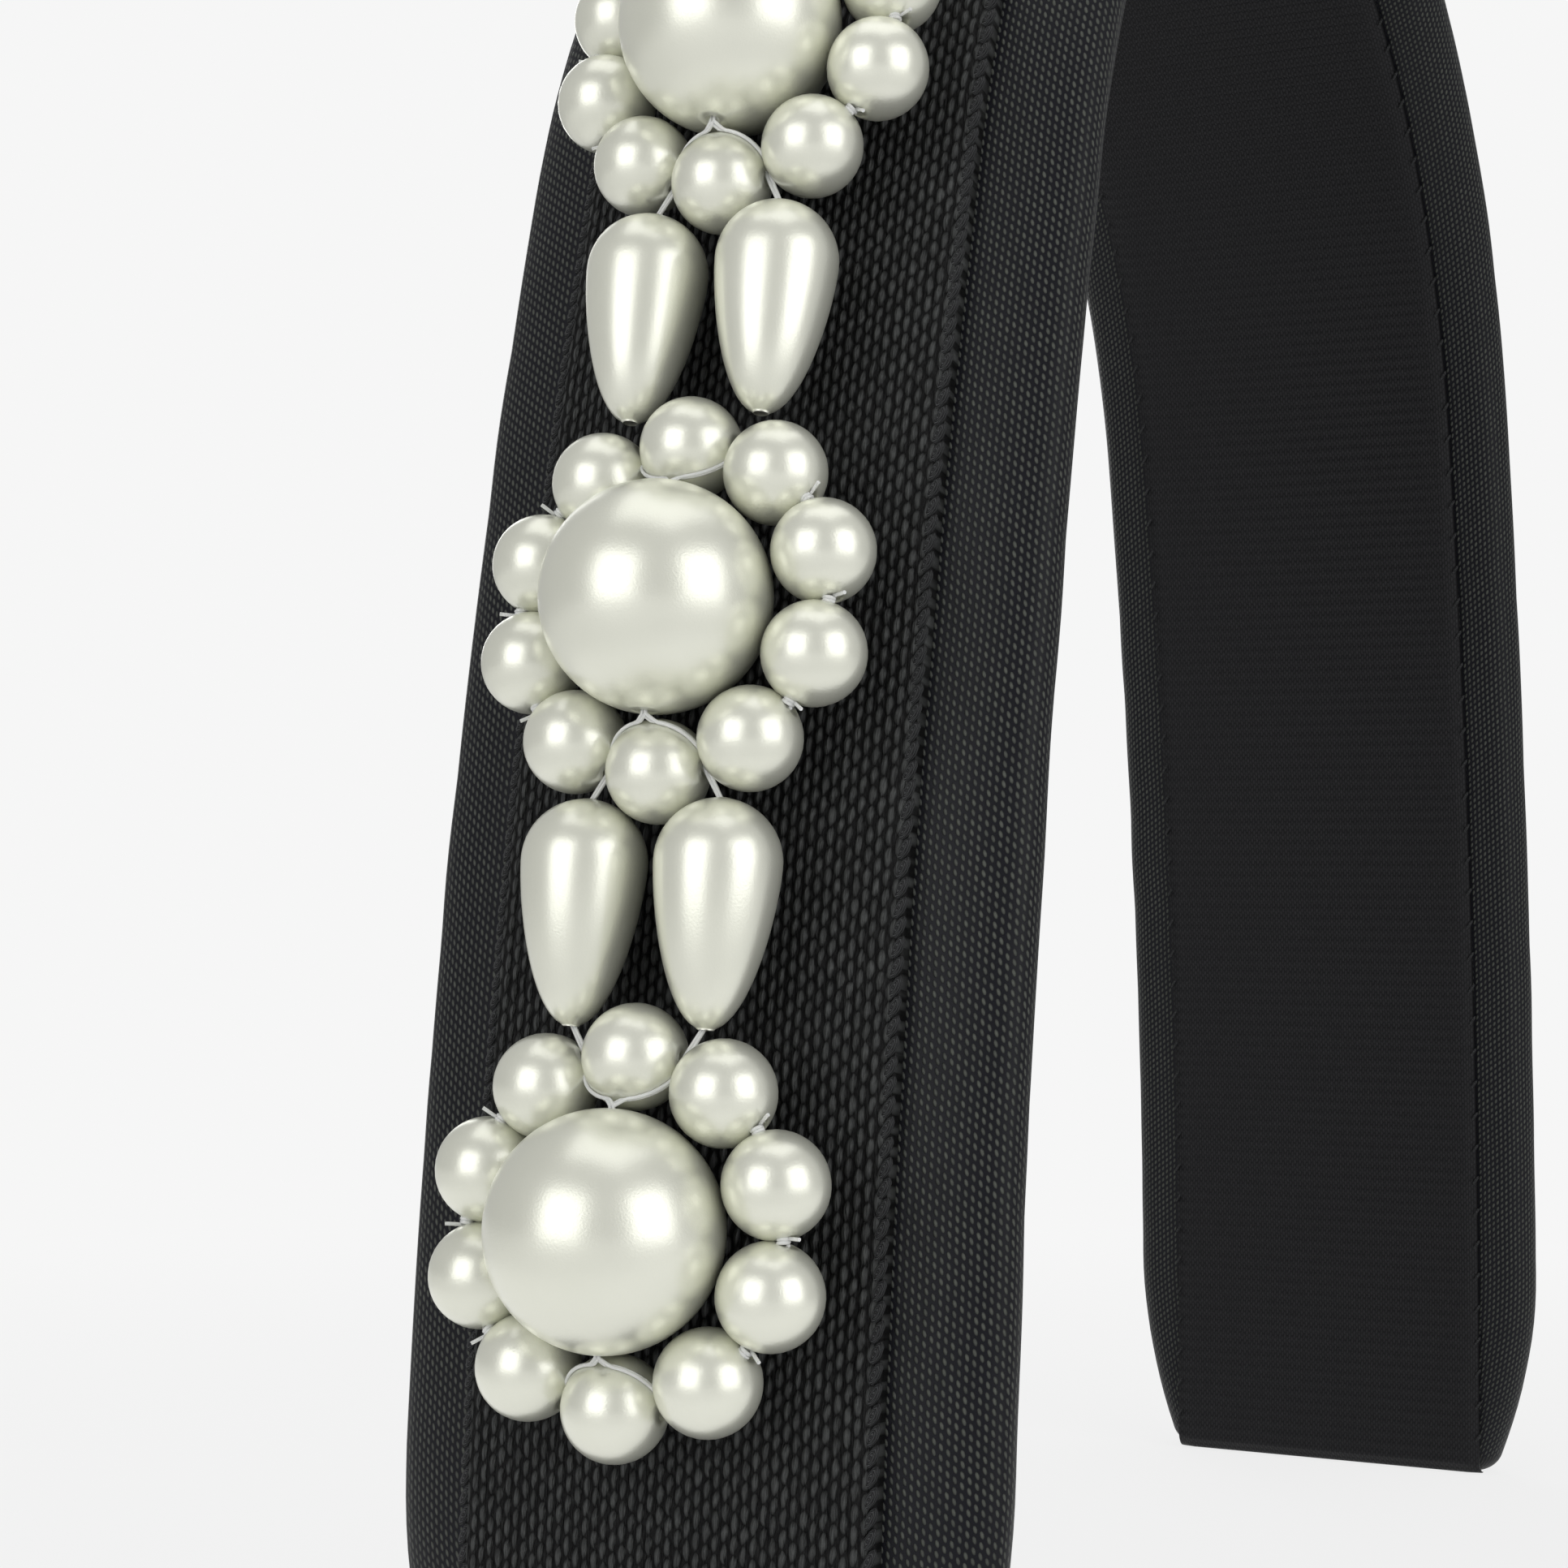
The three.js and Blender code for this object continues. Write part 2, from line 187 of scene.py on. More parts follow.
def hoop_place(along):
    """The place on the hoop: X along it, Y across the band, Z outward."""
    side = math.copysign(1, along)
    length = abs(along)
    if length <= ARCH_HALF:
        angle = length / ARCH_RADIUS
        x = ARCH_RADIUS * math.sin(angle)
        z = CROWN_HEIGHT - ARCH_RADIUS * (1 - math.cos(angle))
    else:
        angle = ARCH_ANGLE + (length - ARCH_HALF) / LEG_RADIUS
        x = ARCH_RADIUS * math.sin(ARCH_ANGLE) + LEG_RADIUS * (math.sin(angle) - math.sin(ARCH_ANGLE))
        z = LEG_RADIUS * math.cos(angle)
    return Matrix.Translation((side * x, 0, z)) @ Matrix.Rotation(side * angle, 4, "Y")


def on_hoop(along, across, height):
    return hoop_place(along) @ Vector((0, across, height))


def principled(nodes):
    return nodes["Principled BSDF"]


core_plastic, nodes, links = new_material("core_plastic")
principled(nodes).inputs["Base Color"].default_value = (0.02, 0.02, 0.022, 1)
principled(nodes).inputs["Roughness"].default_value = 0.45
grain = nodes.new("ShaderNodeTexNoise")
grain.inputs["Scale"].default_value = 900
bump = nodes.new("ShaderNodeBump")
bump.inputs["Distance"].default_value = 0.02 * MM
links.new(grain.outputs["Fac"], bump.inputs["Height"])
links.new(bump.outputs["Normal"], principled(nodes).inputs["Normal"])
for stretch in ("left", "crown", "right"):
    frame["nodes"][f"core_{stretch}"].data.materials.clear()
    frame["nodes"][f"core_{stretch}"].data.materials.append(core_plastic)

# ---- Padded cover ----
# Black nylon twill pulled over a foam pad and turned under the hoop's edges. It is one cloth; the two
# halves meet at the crown, and each bends at its shoulder.
BAND_HALF_WIDTH = 20.45 * MM
EDGE_HEIGHT = 1.3 * MM
CROWNING = 3.7 * MM
HEM_BOTTOM = -1.6 * MM
TIP_LENGTH = 20 * MM
TIP_ROUND = 1.7 * MM
TIP_WIDTH_SHARE, TIP_HEIGHT_SHARE = 0.8, 0.85
CROWN_POWER = 2.6
SEAM_ACROSS, SEAM_WIDTH, SEAM_DEPTH = 14.2 * MM, 0.9 * MM, 0.3 * MM
RIPPLE = 0.16 * MM


def tip_share(along, end_share):
    into = max(0, (abs(along) - HALF_LENGTH + TIP_LENGTH) / TIP_LENGTH)
    return 1 - (1 - end_share) * min(1, into) ** 2


def crowned(across, half_width):
    share = min(1, abs(across) / half_width)
    return EDGE_HEIGHT + CROWNING * (1 - share ** CROWN_POWER) ** (1 / CROWN_POWER)


def cover_surface(along, across):
    """Height of the cover's outer face."""
    half_width = BAND_HALF_WIDTH * tip_share(along, TIP_WIDTH_SHARE)
    return crowned(across, half_width) * tip_share(along, TIP_HEIGHT_SHARE)


# Points round the cover's outline, from the middle of the underside over the top and back.
outline = []
for i in range(25):
    turn = math.pi * i / 24
    across = BAND_HALF_WIDTH * math.copysign(abs(math.cos(turn)) ** 0.8, math.cos(turn))
    outline.append((across, crowned(across, BAND_HALF_WIDTH)))
under = EDGE_HEIGHT - HEM_BOTTOM
for i in range(1, 7):
    turn = math.pi / 2 * i / 6
    outline.append((-(BAND_HALF_WIDTH - under) - under * math.cos(turn),
                    EDGE_HEIGHT - under * math.sin(turn)))
left_corner = outline[-1][0]
outline += [(left_corner * (1 - i / 4), HEM_BOTTOM) for i in range(1, 5)]
right_under = [(-across, height) for across, height in outline[25:-1]]
outline = [(0, HEM_BOTTOM)] + right_under[::-1] + outline
girth = [0]
for (a0, h0), (a1, h1) in zip(outline, outline[1:]):
    girth.append(girth[-1] + math.hypot(a1 - a0, h1 - h0))


def laid_cloth(name, rows, columns, length, width, place, closed=False):
    """A grid of cloth laid by place(share along, column); its UV map is in metres of cloth."""
    cloth = bmesh.new()
    bmesh.ops.create_grid(cloth, x_segments=rows, y_segments=columns, size=0.5)
    weave = cloth.loops.layers.uv.new("cloth")
    for face in cloth.faces:
        for loop in face.loops:
            share_along, share_across = loop.vert.co.x + 0.5, loop.vert.co.y + 0.5
            loop[weave].uv = (share_along * length, width(share_across))
    laid_along = cloth.verts.layers.float.new("along")
    laid_across = cloth.verts.layers.float.new("across")
    for vert in cloth.verts:
        vert[laid_along], vert[laid_across] = vert.co.x + 0.5, vert.co.y + 0.5
        vert.co = place(vert[laid_along], vert[laid_across])
    if closed:
        bmesh.ops.remove_doubles(cloth, verts=cloth.verts[:], dist=0.001 * MM)
    return cloth


def finished(name, shape, *materials, smooth=True):
    """The shape as an object of the scene."""
    for face in shape.faces:
        face.smooth = smooth
    made = bpy.data.objects.new(name, bpy.data.meshes.new(name))
    shape.to_mesh(made.data)
    shape.free()
    for material in materials:
        made.data.materials.append(material)
    bpy.context.scene.collection.objects.link(made)
    return made


def round_tip(along):
    """How far the outline has drawn in at the folded end of the tip."""
    past = max(0, abs(along) - HALF_LENGTH + TIP_ROUND)
    return TIP_ROUND - math.sqrt(max(0, TIP_ROUND ** 2 - past ** 2))


def cover_point(along, corner):
    across, height = outline[corner]
    inset = round_tip(along)
    middle_height = (HEM_BOTTOM + EDGE_HEIGHT + CROWNING) / 2
    across *= tip_share(along, TIP_WIDTH_SHARE) * (1 - inset / (BAND_HALF_WIDTH * TIP_WIDTH_SHARE))
    height = middle_height + (height - middle_height) * (1 - inset / (3.2 * MM))
    height *= tip_share(along, TIP_HEIGHT_SHARE)
    if height > EDGE_HEIGHT:
        sewn_down = math.exp(-((abs(across) - SEAM_ACROSS) / SEAM_WIDTH) ** 2)
        height -= SEAM_DEPTH * sewn_down
    ripple = noise.noise(Vector((along * 90, across * 60, height * 60)))
    swell = RIPPLE * ripple * min(1, abs(across) / SEAM_ACROSS) ** 2
    return on_hoop(along, across + math.copysign(swell, across), height + swell)


def spread(share):
    """Rows along half the band, closer together at the tip's rounding."""
    plain = HALF_LENGTH - TIP_ROUND
    if share <= 0.9:
        return plain * share / 0.9
    return plain + TIP_ROUND * math.sin(math.pi / 2 * (share - 0.9) / 0.1)


def weave_group():
    """Staggered oval floats: a height, and a random value for each float."""
    group = bpy.data.node_groups.new("floats", "ShaderNodeTree")
    face = group.interface
    face.new_socket("Vector", in_out="INPUT", socket_type="NodeSocketVector")
    for name, value in (("Pitch Along", 0.0006), ("Pitch Across", 0.0005), ("Slant", 0.0),
                        ("Length", 0.9), ("Width", 0.7), ("Wander", 0.0), ("Fibre", 0.0)):
        face.new_socket(name, in_out="INPUT", socket_type="NodeSocketFloat").default_value = value
    face.new_socket("Height", in_out="OUTPUT", socket_type="NodeSocketFloat")
    face.new_socket("Random", in_out="OUTPUT", socket_type="NodeSocketFloat")
    inside, outside = group.nodes.new("NodeGroupInput"), group.nodes.new("NodeGroupOutput")

    def maths(operation, *values):
        node = group.nodes.new("ShaderNodeMath")
        node.operation = operation
        for socket, value in zip(node.inputs, values):
            if hasattr(value, "links"):
                group.links.new(value, socket)
            else:
                socket.default_value = value
        return node.outputs[0]

    wobble = group.nodes.new("ShaderNodeTexNoise")
    wobble.inputs["Scale"].default_value = 700
    group.links.new(inside.outputs["Vector"], wobble.inputs["Vector"])
    drift = maths("MULTIPLY", maths("SUBTRACT", wobble.outputs["Fac"], 0.5), inside.outputs["Wander"])
    split = group.nodes.new("ShaderNodeSeparateXYZ")
    group.links.new(inside.outputs["Vector"], split.inputs[0])
    column = maths("ADD", maths("DIVIDE", split.outputs["Y"], inside.outputs["Pitch Across"]), drift)
    row = maths("ADD", maths("DIVIDE", split.outputs["X"], inside.outputs["Pitch Along"]), drift)
    column_number = maths("FLOOR", column)
    odd = maths("MODULO", maths("ABSOLUTE", column_number), 2.0)
    row = maths("ADD", row, maths("MULTIPLY", odd, 0.5))
    row_number = maths("FLOOR", row)
    y = maths("SUBTRACT", maths("FRACT", row), 0.5)
    x = maths("SUBTRACT", maths("FRACT", column), 0.5)
    x = maths("ADD", x, maths("MULTIPLY", y, inside.outputs["Slant"]))
    x = maths("DIVIDE", x, inside.outputs["Width"])
    y = maths("DIVIDE", y, inside.outputs["Length"])
    reach = maths("ADD", maths("MULTIPLY", x, x), maths("MULTIPLY", y, y))
    dome = maths("MAXIMUM", maths("SUBTRACT", 1.0, maths("MULTIPLY", reach, 4.0)), 0.0)
    stretched = group.nodes.new("ShaderNodeMapping")
    stretched.inputs["Scale"].default_value = (0.12, 1, 1)
    group.links.new(inside.outputs["Vector"], stretched.inputs["Vector"])
    fibres = group.nodes.new("ShaderNodeTexNoise")
    fibres.inputs["Scale"].default_value = 9000
    group.links.new(stretched.outputs[0], fibres.inputs["Vector"])
    fuzz = maths("MULTIPLY", maths("SUBTRACT", fibres.outputs["Fac"], 0.5), inside.outputs["Fibre"])
    group.links.new(maths("ADD", maths("SQRT", dome), fuzz), outside.inputs["Height"])
    pair = group.nodes.new("ShaderNodeCombineXYZ")
    group.links.new(column_number, pair.inputs[0])
    group.links.new(row_number, pair.inputs[1])
    chance = group.nodes.new("ShaderNodeTexWhiteNoise")
    chance.noise_dimensions = "2D"
    group.links.new(pair.outputs[0], chance.inputs["Vector"])
    group.links.new(maths("ADD", chance.outputs["Value"], maths("MULTIPLY", fuzz, 2.0)),
                    outside.inputs["Random"])
    return group


floats = weave_group()


def woven(name, gap_shade_colour, float_top_light_colour, roughness, relief, **values):
    """Cloth whose floats stand proud, coloured with painted light on the floats' tops and painted shade in
    the gaps between them.
    """
    made, nodes, links = new_material(name)
    cloth = nodes.new("ShaderNodeUVMap")
    cloth.uv_map = "cloth"
    weave = nodes.new("ShaderNodeGroup")
    weave.node_tree = floats
    for socket, value in values.items():
        weave.inputs[socket.replace("_", " ")].default_value = value
    links.new(cloth.outputs[0], weave.inputs["Vector"])
    # Painted light and shade: the colour runs from the gap colour (painted shade) to the top colour (painted
    # light) by each float's height, with a random tone per float.
    tint = nodes.new("ShaderNodeMix")
    tint.data_type = "RGBA"
    tint.inputs["A"].default_value = (*gap_shade_colour, 1)
    tint.inputs["B"].default_value = (*float_top_light_colour, 1)
    brightness = nodes.new("ShaderNodeMath")
    brightness.operation = "MULTIPLY_ADD"
    links.new(weave.outputs["Random"], brightness.inputs[0])
    brightness.inputs[1].default_value = 0.35
    brightness.inputs[2].default_value = 0.65
    painted_float_light = nodes.new("ShaderNodeMath")
    painted_float_light.operation = "MULTIPLY"
    links.new(weave.outputs["Height"], painted_float_light.inputs[0])
    links.new(brightness.outputs[0], painted_float_light.inputs[1])
    links.new(painted_float_light.outputs[0], tint.inputs["Factor"])
    links.new(tint.outputs["Result"], principled(nodes).inputs["Base Color"])
    principled(nodes).inputs["Roughness"].default_value = roughness
    principled(nodes).inputs["Specular IOR Level"].default_value = 0.22
    bump = nodes.new("ShaderNodeBump")
    bump.inputs["Distance"].default_value = relief
    bump.inputs["Strength"].default_value = 0.8
    links.new(weave.outputs["Height"], bump.inputs["Height"])
    links.new(bump.outputs["Normal"], principled(nodes).inputs["Normal"])
    return made


# For each woven cloth, the first colour is painted shade for the gaps between floats, and the second is
# painted light for the floats' tops.
nylon_twill = woven("nylon_twill", (0.0008, 0.001, 0.004), (0.078, 0.084, 0.072), 0.5, 0.14 * MM,
                    Pitch_Along=0.54 * MM, Pitch_Across=0.42 * MM, Slant=0.35, Length=0.8, Width=0.62)
SHOULDER = 98.9 * MM
BEND_REACH = 22 * MM


def bent_at_shoulder(piece, side):
    """The piece follows its leg below the shoulder and the crown above it."""
    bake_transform(piece, "left_leg" if side < 0 else "right_leg", "crown",
             start=on_hoop(side * (SHOULDER + BEND_REACH), 0, 0),
             end=on_hoop(side * (SHOULDER - BEND_REACH), 0, 0))


for side, name in ((-1, "left"), (1, "right")):
    cloth = laid_cloth(
        name, 120, len(outline) - 1, HALF_LENGTH,
        lambda share: girth[round(share * (len(outline) - 1))],
        lambda along, around: cover_point(side * spread(along), round(around * (len(outline) - 1))),
        closed=True)
    open_ends = [edge for edge in cloth.edges if edge.is_boundary]
    bmesh.ops.holes_fill(cloth, edges=open_ends, sides=0)
    for edge in open_ends:
        edge.smooth = False
    bmesh.ops.recalc_face_normals(cloth, faces=cloth.faces[:])
    cover = finished(f"padded_cover_{name}", cloth, nylon_twill)
    bent_at_shoulder(cover, side)
    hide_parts(f"cover_{name}", f"pad_{name}", f"tip_cap_{name}", "cover_crown", "pad_crown")

# ---- Webbing ----
# A strip of black woven tape sewn along the middle of the cover. Its long warp floats stand proud in
# columns, and a twisted cord binds each edge.
WEBBING_HALF_WIDTH = 13.75 * MM
WEBBING_LIFT = 0.3 * MM
WEBBING_THICKNESS = 1.2 * MM
COLUMN_PITCH = 0.62 * MM
FLOAT_PITCH = 1.2 * MM
FLOAT_RELIEF = 0.3 * MM
WEBBING_ROWS, WEBBING_COLUMNS = 520, 178


def webbing_height(along, across):
    column = across / COLUMN_PITCH
    row = along / FLOAT_PITCH + 0.5 * (math.floor(column) % 2)
    dome = math.sin(math.pi * (column % 1)) * math.sin(math.pi * (row % 1)) ** 0.6
    edge = max(0, abs(across) / WEBBING_HALF_WIDTH - 0.94) / 0.06
    height = cover_surface(along, across) + WEBBING_LIFT + WEBBING_THICKNESS - FLOAT_RELIEF
    height += FLOAT_RELIEF * dome * (1 - edge) - 0.35 * MM * edge ** 2
    height += 0.06 * MM * noise.noise(Vector((along * 250, across * 250, 3)))
    return height - 0.7 * round_tip(along)


def tape(rows, columns, side, half_width, height, thickness):
    """Half of a strip: a modelled face, turned over at its edges by its thickness, and a plain back."""
    def across_of(share):
        return (share - 0.5) * 2 * half_width

    strip = laid_cloth("tape", rows, columns, HALF_LENGTH, across_of,
                       lambda along, share: on_hoop(side * along * HALF_LENGTH, across_of(share),
                                                    height(along * HALF_LENGTH, across_of(share))))
    laid_along, laid_across = (strip.verts.layers.float[name] for name in ("along", "across"))
    rims = [edge for edge in strip.edges if edge.is_boundary]
    turned = bmesh.ops.extrude_edge_only(strip, edges=rims)["geom"]
    for vert in (item for item in turned if isinstance(item, bmesh.types.BMVert)):
        along, across = vert[laid_along] * HALF_LENGTH, across_of(vert[laid_across])
        vert.co = on_hoop(side * along, across, height(along, across) - thickness)
    sides = [[], []]
    for edge in (item for item in turned if isinstance(item, bmesh.types.BMEdge)):
        shares = [vert[laid_across] for vert in edge.verts]
        if edge.is_boundary and max(shares) < 0.001:
            sides[0].append(edge)
        if edge.is_boundary and min(shares) > 0.999:
            sides[1].append(edge)
    bmesh.ops.bridge_loops(strip, edges=sides[0] + sides[1])
    bmesh.ops.holes_fill(strip, edges=[edge for edge in strip.edges if edge.is_boundary], sides=0)
    bmesh.ops.recalc_face_normals(strip, faces=strip.faces[:])
    return strip


# Painted shade in the gaps between the floats, painted light on their tops.
webbing_tape = woven("webbing_tape", (0.0006, 0.0006, 0.0008), (0.068, 0.071, 0.07), 0.6, 0.35 * MM,
                     Pitch_Along=FLOAT_PITCH, Pitch_Across=COLUMN_PITCH, Slant=0.18, Length=0.98,
                     Width=0.8, Wander=0.4, Fibre=1.2)
for side, name in ((-1, "left"), (1, "right")):
    rows = WEBBING_ROWS
    strip = finished(f"webbing_strip_{name}",
                     tape(rows, WEBBING_COLUMNS, side, WEBBING_HALF_WIDTH, webbing_height,
                          WEBBING_THICKNESS), webbing_tape)
    bent_at_shoulder(strip, side)
    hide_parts(f"webbing_{name}", "webbing_crown")

# The cords bound to the webbing's two edges: one slanted turn of yarn after another.
TURN_PITCH = 1.15 * MM
TURN_LENGTH, TURN_WIDTH = 1.7 * MM, 0.66 * MM
TURN_SLANT = math.radians(28)
# Painted shade between the yarn turns, painted light on their tops.
bound_yarn = woven("bound_yarn", (0.01, 0.01, 0.011), (0.085, 0.088, 0.09), 0.6, 0.12 * MM,
                   Pitch_Along=0.5, Pitch_Across=0.08, Length=1.0, Width=0.9, Fibre=0.3)


def bound_row(name, side, half_width, height, pitch, size, tilt, material):
    """Slanted turns of yarn along both edges of half a strip, as one piece."""
    row = bmesh.new()
    row.loops.layers.uv.new("cloth")
    for edge_side in (-1, 1):
        for turn in range(int(HALF_LENGTH / pitch)):
            along = (turn + 0.5) * pitch
            place = (hoop_place(side * along)
                     @ Matrix.Translation((0, edge_side * half_width, height(along)))
                     @ Matrix.Rotation(-side * tilt, 4, "Z") @ Matrix.Diagonal((*size, 1)))
            bmesh.ops.create_uvsphere(row, u_segments=8, v_segments=6, radius=0.5, matrix=place,
                                      calc_uvs=True)
    row = finished(name, row, material)
    bent_at_shoulder(row, side)


for side, name in ((-1, "left"), (1, "right")):
    bound_row(f"edge_cord_{name}", side, WEBBING_HALF_WIDTH - 0.2 * MM,
              lambda along: webbing_height(along, WEBBING_HALF_WIDTH) + 0.2 * MM,
              TURN_PITCH, (TURN_LENGTH, TURN_WIDTH, TURN_WIDTH), TURN_SLANT, bound_yarn)

# ---- Lining ----
# A ribbed black ribbon slip-stitched over the cover's hems on the inside.
LINING_HALF_WIDTH = 15.5 * MM
LINING_TOP = -1.9 * MM
LINING_THICKNESS = 0.6 * MM
RIB_PITCH = 1.1 * MM
STITCH_PITCH = 3.2 * MM
STITCH_SIZE = (1.3 * MM, 0.34 * MM, 0.5 * MM)
STITCH_SLANT = math.radians(35)


def lining_height(along, across):
    ribs = 0.09 * MM * math.sin(2 * math.pi * along / RIB_PITCH)
    edge = max(0, abs(across) / LINING_HALF_WIDTH - 0.95) / 0.05
    return LINING_TOP - LINING_THICKNESS + 0.25 * MM * edge ** 2 + ribs * (1 - edge) + round_tip(along)


# Painted shade between the ribs, painted light on their tops.
ribbon = woven("ribbed_ribbon", (0.004, 0.004, 0.005), (0.02, 0.02, 0.022), 0.6, 0.06 * MM,
               Pitch_Along=0.55 * MM, Pitch_Across=0.25 * MM, Length=0.9, Width=0.9, Wander=0.2)
for side, name in ((-1, "left"), (1, "right")):
    lining = tape(1000, 24, side, LINING_HALF_WIDTH, lining_height, -LINING_THICKNESS)
    lining = finished(f"lining_ribbon_{name}", lining, ribbon)
    bent_at_shoulder(lining, side)
    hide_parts(f"lining_{name}", "lining_crown")
    bound_row(f"slip_stitches_{name}", side, LINING_HALF_WIDTH - 0.1 * MM,
              lambda along: LINING_TOP - 0.25 * MM + round_tip(along),
              STITCH_PITCH, STITCH_SIZE, STITCH_SLANT, bound_yarn)

# ---- Pearls ----
# Moulded beads with an ivory nacre coat, drilled through. Ten small ones make a ring round each large
# one, and a pair of teardrops hangs between each two rings, fat ends towards the left leg.
PEARL_RADIUS = 7 * MM
BEAD_RADIUS = 3.15 * MM
BEAD_COUNT = 10
HOLE_RADIUS = 0.45 * MM
PEARL_LIFT, RING_LIFT = 0.3 * MM, 4.9 * MM
PEARL_GAP = 0.2 * MM
DROP_RADIUS = 3.8 * MM
DROP_LENGTH = 13.6 * MM
FLOWER_SPACING = 36 * MM
FLOWER_COUNT = 9
WEBBING_TOP = EDGE_HEIGHT + CROWNING + WEBBING_LIFT + WEBBING_THICKNESS
PEARL_HEIGHT = WEBBING_TOP + PEARL_LIFT + PEARL_RADIUS
CHAIN_HEIGHT = WEBBING_TOP + RING_LIFT
RING_RADIUS = math.sqrt((PEARL_RADIUS + BEAD_RADIUS + PEARL_GAP) ** 2
                        - (PEARL_HEIGHT - CHAIN_HEIGHT) ** 2)


def nacre(name, deep, bright, roughness):
    made, nodes, links = new_material(name)
    place = nodes.new("ShaderNodeTexCoord")
    cloud = nodes.new("ShaderNodeTexNoise")
    cloud.inputs["Scale"].default_value = 180
    cloud.inputs["Detail"].default_value = 4
    links.new(place.outputs["Object"], cloud.inputs["Vector"])
    tint = nodes.new("ShaderNodeMix")
    tint.data_type = "RGBA"
    tint.inputs["A"].default_value = (*deep, 1)
    tint.inputs["B"].default_value = (*bright, 1)
    links.new(cloud.outputs["Fac"], tint.inputs["Factor"])
    shine = principled(nodes)
    links.new(tint.outputs["Result"], shine.inputs["Base Color"])
    grain = nodes.new("ShaderNodeTexNoise")
    grain.inputs["Scale"].default_value = 7000
    links.new(place.outputs["Object"], grain.inputs["Vector"])
    bump = nodes.new("ShaderNodeBump")
    bump.inputs["Distance"].default_value = 0.014 * MM
    bump.inputs["Strength"].default_value = 0.6
    links.new(grain.outputs["Fac"], bump.inputs["Height"])
    links.new(bump.outputs["Normal"], shine.inputs["Normal"])
    shine.inputs["Roughness"].default_value = roughness
    shine.inputs["Metallic"].default_value = 0.6
    shine.inputs["Coat Weight"].default_value = 0.5
    shine.inputs["Coat Roughness"].default_value = 0.2
    shine.inputs["Coat Tint"].default_value = (0.97, 0.98, 0.90, 1)
    return made


ivory_nacre = nacre("ivory_nacre", (0.80, 0.805, 0.73), (0.87, 0.87, 0.805), 0.32)


def drilled(profile, turns):
    """A bead turned about its own X axis from (along, radius) points, closed through its hole."""
    bead = bmesh.new()
    points = [bead.verts.new((x, 0, radius)) for x, radius in profile]
    edges = [bead.edges.new(pair) for pair in zip(points, points[1:] + points[:1])]
    bmesh.ops.spin(bead, geom=points + edges, axis=(1, 0, 0), cent=(0, 0, 0), steps=turns,
                   angle=2 * math.pi, use_merge=True)
    bmesh.ops.recalc_face_normals(bead, faces=bead.faces[:])
    made = bpy.data.meshes.new("bead")
    for face in bead.faces:
        face.smooth = True
    bead.to_mesh(made)
    bead.free()
    return made


def round_profile(radius, points):
    start = math.asin(HOLE_RADIUS / radius)
    turns = [start + (math.pi - 2 * start) * i / points for i in range(points + 1)]
    return [(-radius * math.cos(turn), radius * math.sin(turn)) for turn in turns]


def drop_profile(points):
    """Fat round end at -X, tapering like a bullet to its hole at +X."""
    profile = []
    for i in range(points + 1):
        share = i / points
        x = -DROP_LENGTH / 2 + DROP_LENGTH * (1 - math.cos(math.pi / 2 * share) ** 1.5)
        along = (x + DROP_LENGTH / 2) / DROP_LENGTH
        if along < DROP_RADIUS / DROP_LENGTH:
            past = 1 - along * DROP_LENGTH / DROP_RADIUS
            radius = DROP_RADIUS * math.sqrt(max(0, 1 - past ** 2))
        else:
            taper = (along - DROP_RADIUS / DROP_LENGTH) / (1 - DROP_RADIUS / DROP_LENGTH)
            radius = DROP_RADIUS * (1 - min(1, taper) ** 1.5) ** 0.47
        profile.append((x, max(radius, HOLE_RADIUS)))
    profile.append((DROP_LENGTH / 2, HOLE_RADIUS))
    return profile


def strung(name, mesh, places, body, node, materials=(ivory_nacre,)):
    """Copies of a bead at each place, as one piece."""
    beads = bmesh.new()
    for place in places:
        copy = mesh.copy()
        copy.transform(place)
        beads.from_mesh(copy)
        bpy.data.meshes.remove(copy)
    made = finished(name, beads, *materials)
    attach(made, body)
    if node:
        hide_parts(node)
    return made


body_of = {}
for body, members in frame["record"]["behaviour"]["bodies"].items():
    body_of.update((node, body) for node in members)
pearl_mesh = drilled(round_profile(PEARL_RADIUS, 40), 72)
bead_mesh = drilled(round_profile(BEAD_RADIUS, 20), 36)
drop_mesh = drilled(drop_profile(36), 48)


def flower_place(flower):
    return hoop_place((flower - (FLOWER_COUNT - 1) / 2) * FLOWER_SPACING)


def bead_centre(number, radius=RING_RADIUS):
    turn = 2 * math.pi * number / BEAD_COUNT
    return Vector((radius * math.cos(turn), radius * math.sin(turn), CHAIN_HEIGHT))


for flower in range(FLOWER_COUNT):
    number = flower + 1
    centre = flower_place(flower)
    strung(f"round_pearl_{number}", pearl_mesh, [centre @ Matrix.Translation((0, 0, PEARL_HEIGHT))],
           f"pearl_{number}", f"pearl_{number}")
    places = [centre @ Matrix.Translation(bead_centre(i))
              @ Matrix.Rotation(2 * math.pi * i / BEAD_COUNT + math.pi / 2, 4, "Z")
              for i in range(BEAD_COUNT)]
    strung(f"bead_ring_{number}", bead_mesh, places, body_of[f"ring_{number}"], f"ring_{number}")

for joint in frame["joints"]:
    if joint["child"].startswith("drop_"):
        axis = Vector(joint["axis"])
        turn = Vector((1, 0, 0)).rotation_difference(axis).to_matrix().to_4x4()
        strung(joint["child"].replace("drop", "teardrop"), drop_mesh,
               [Matrix.Translation(joint["pos_m"]) @ turn], joint["child"], joint["child"])

# ---- Thread ----
# Clear nylon monofilament. A loop strings each ring; two strands run from its knots, round the end
# beads, through the large pearl; and doubled strands tie the teardrops' two ends to the rings.
THREAD_RADIUS = 0.12 * MM
KNOT_TURN = math.pi / BEAD_COUNT
KNOT_RADIUS = RING_RADIUS * math.cos(KNOT_TURN)

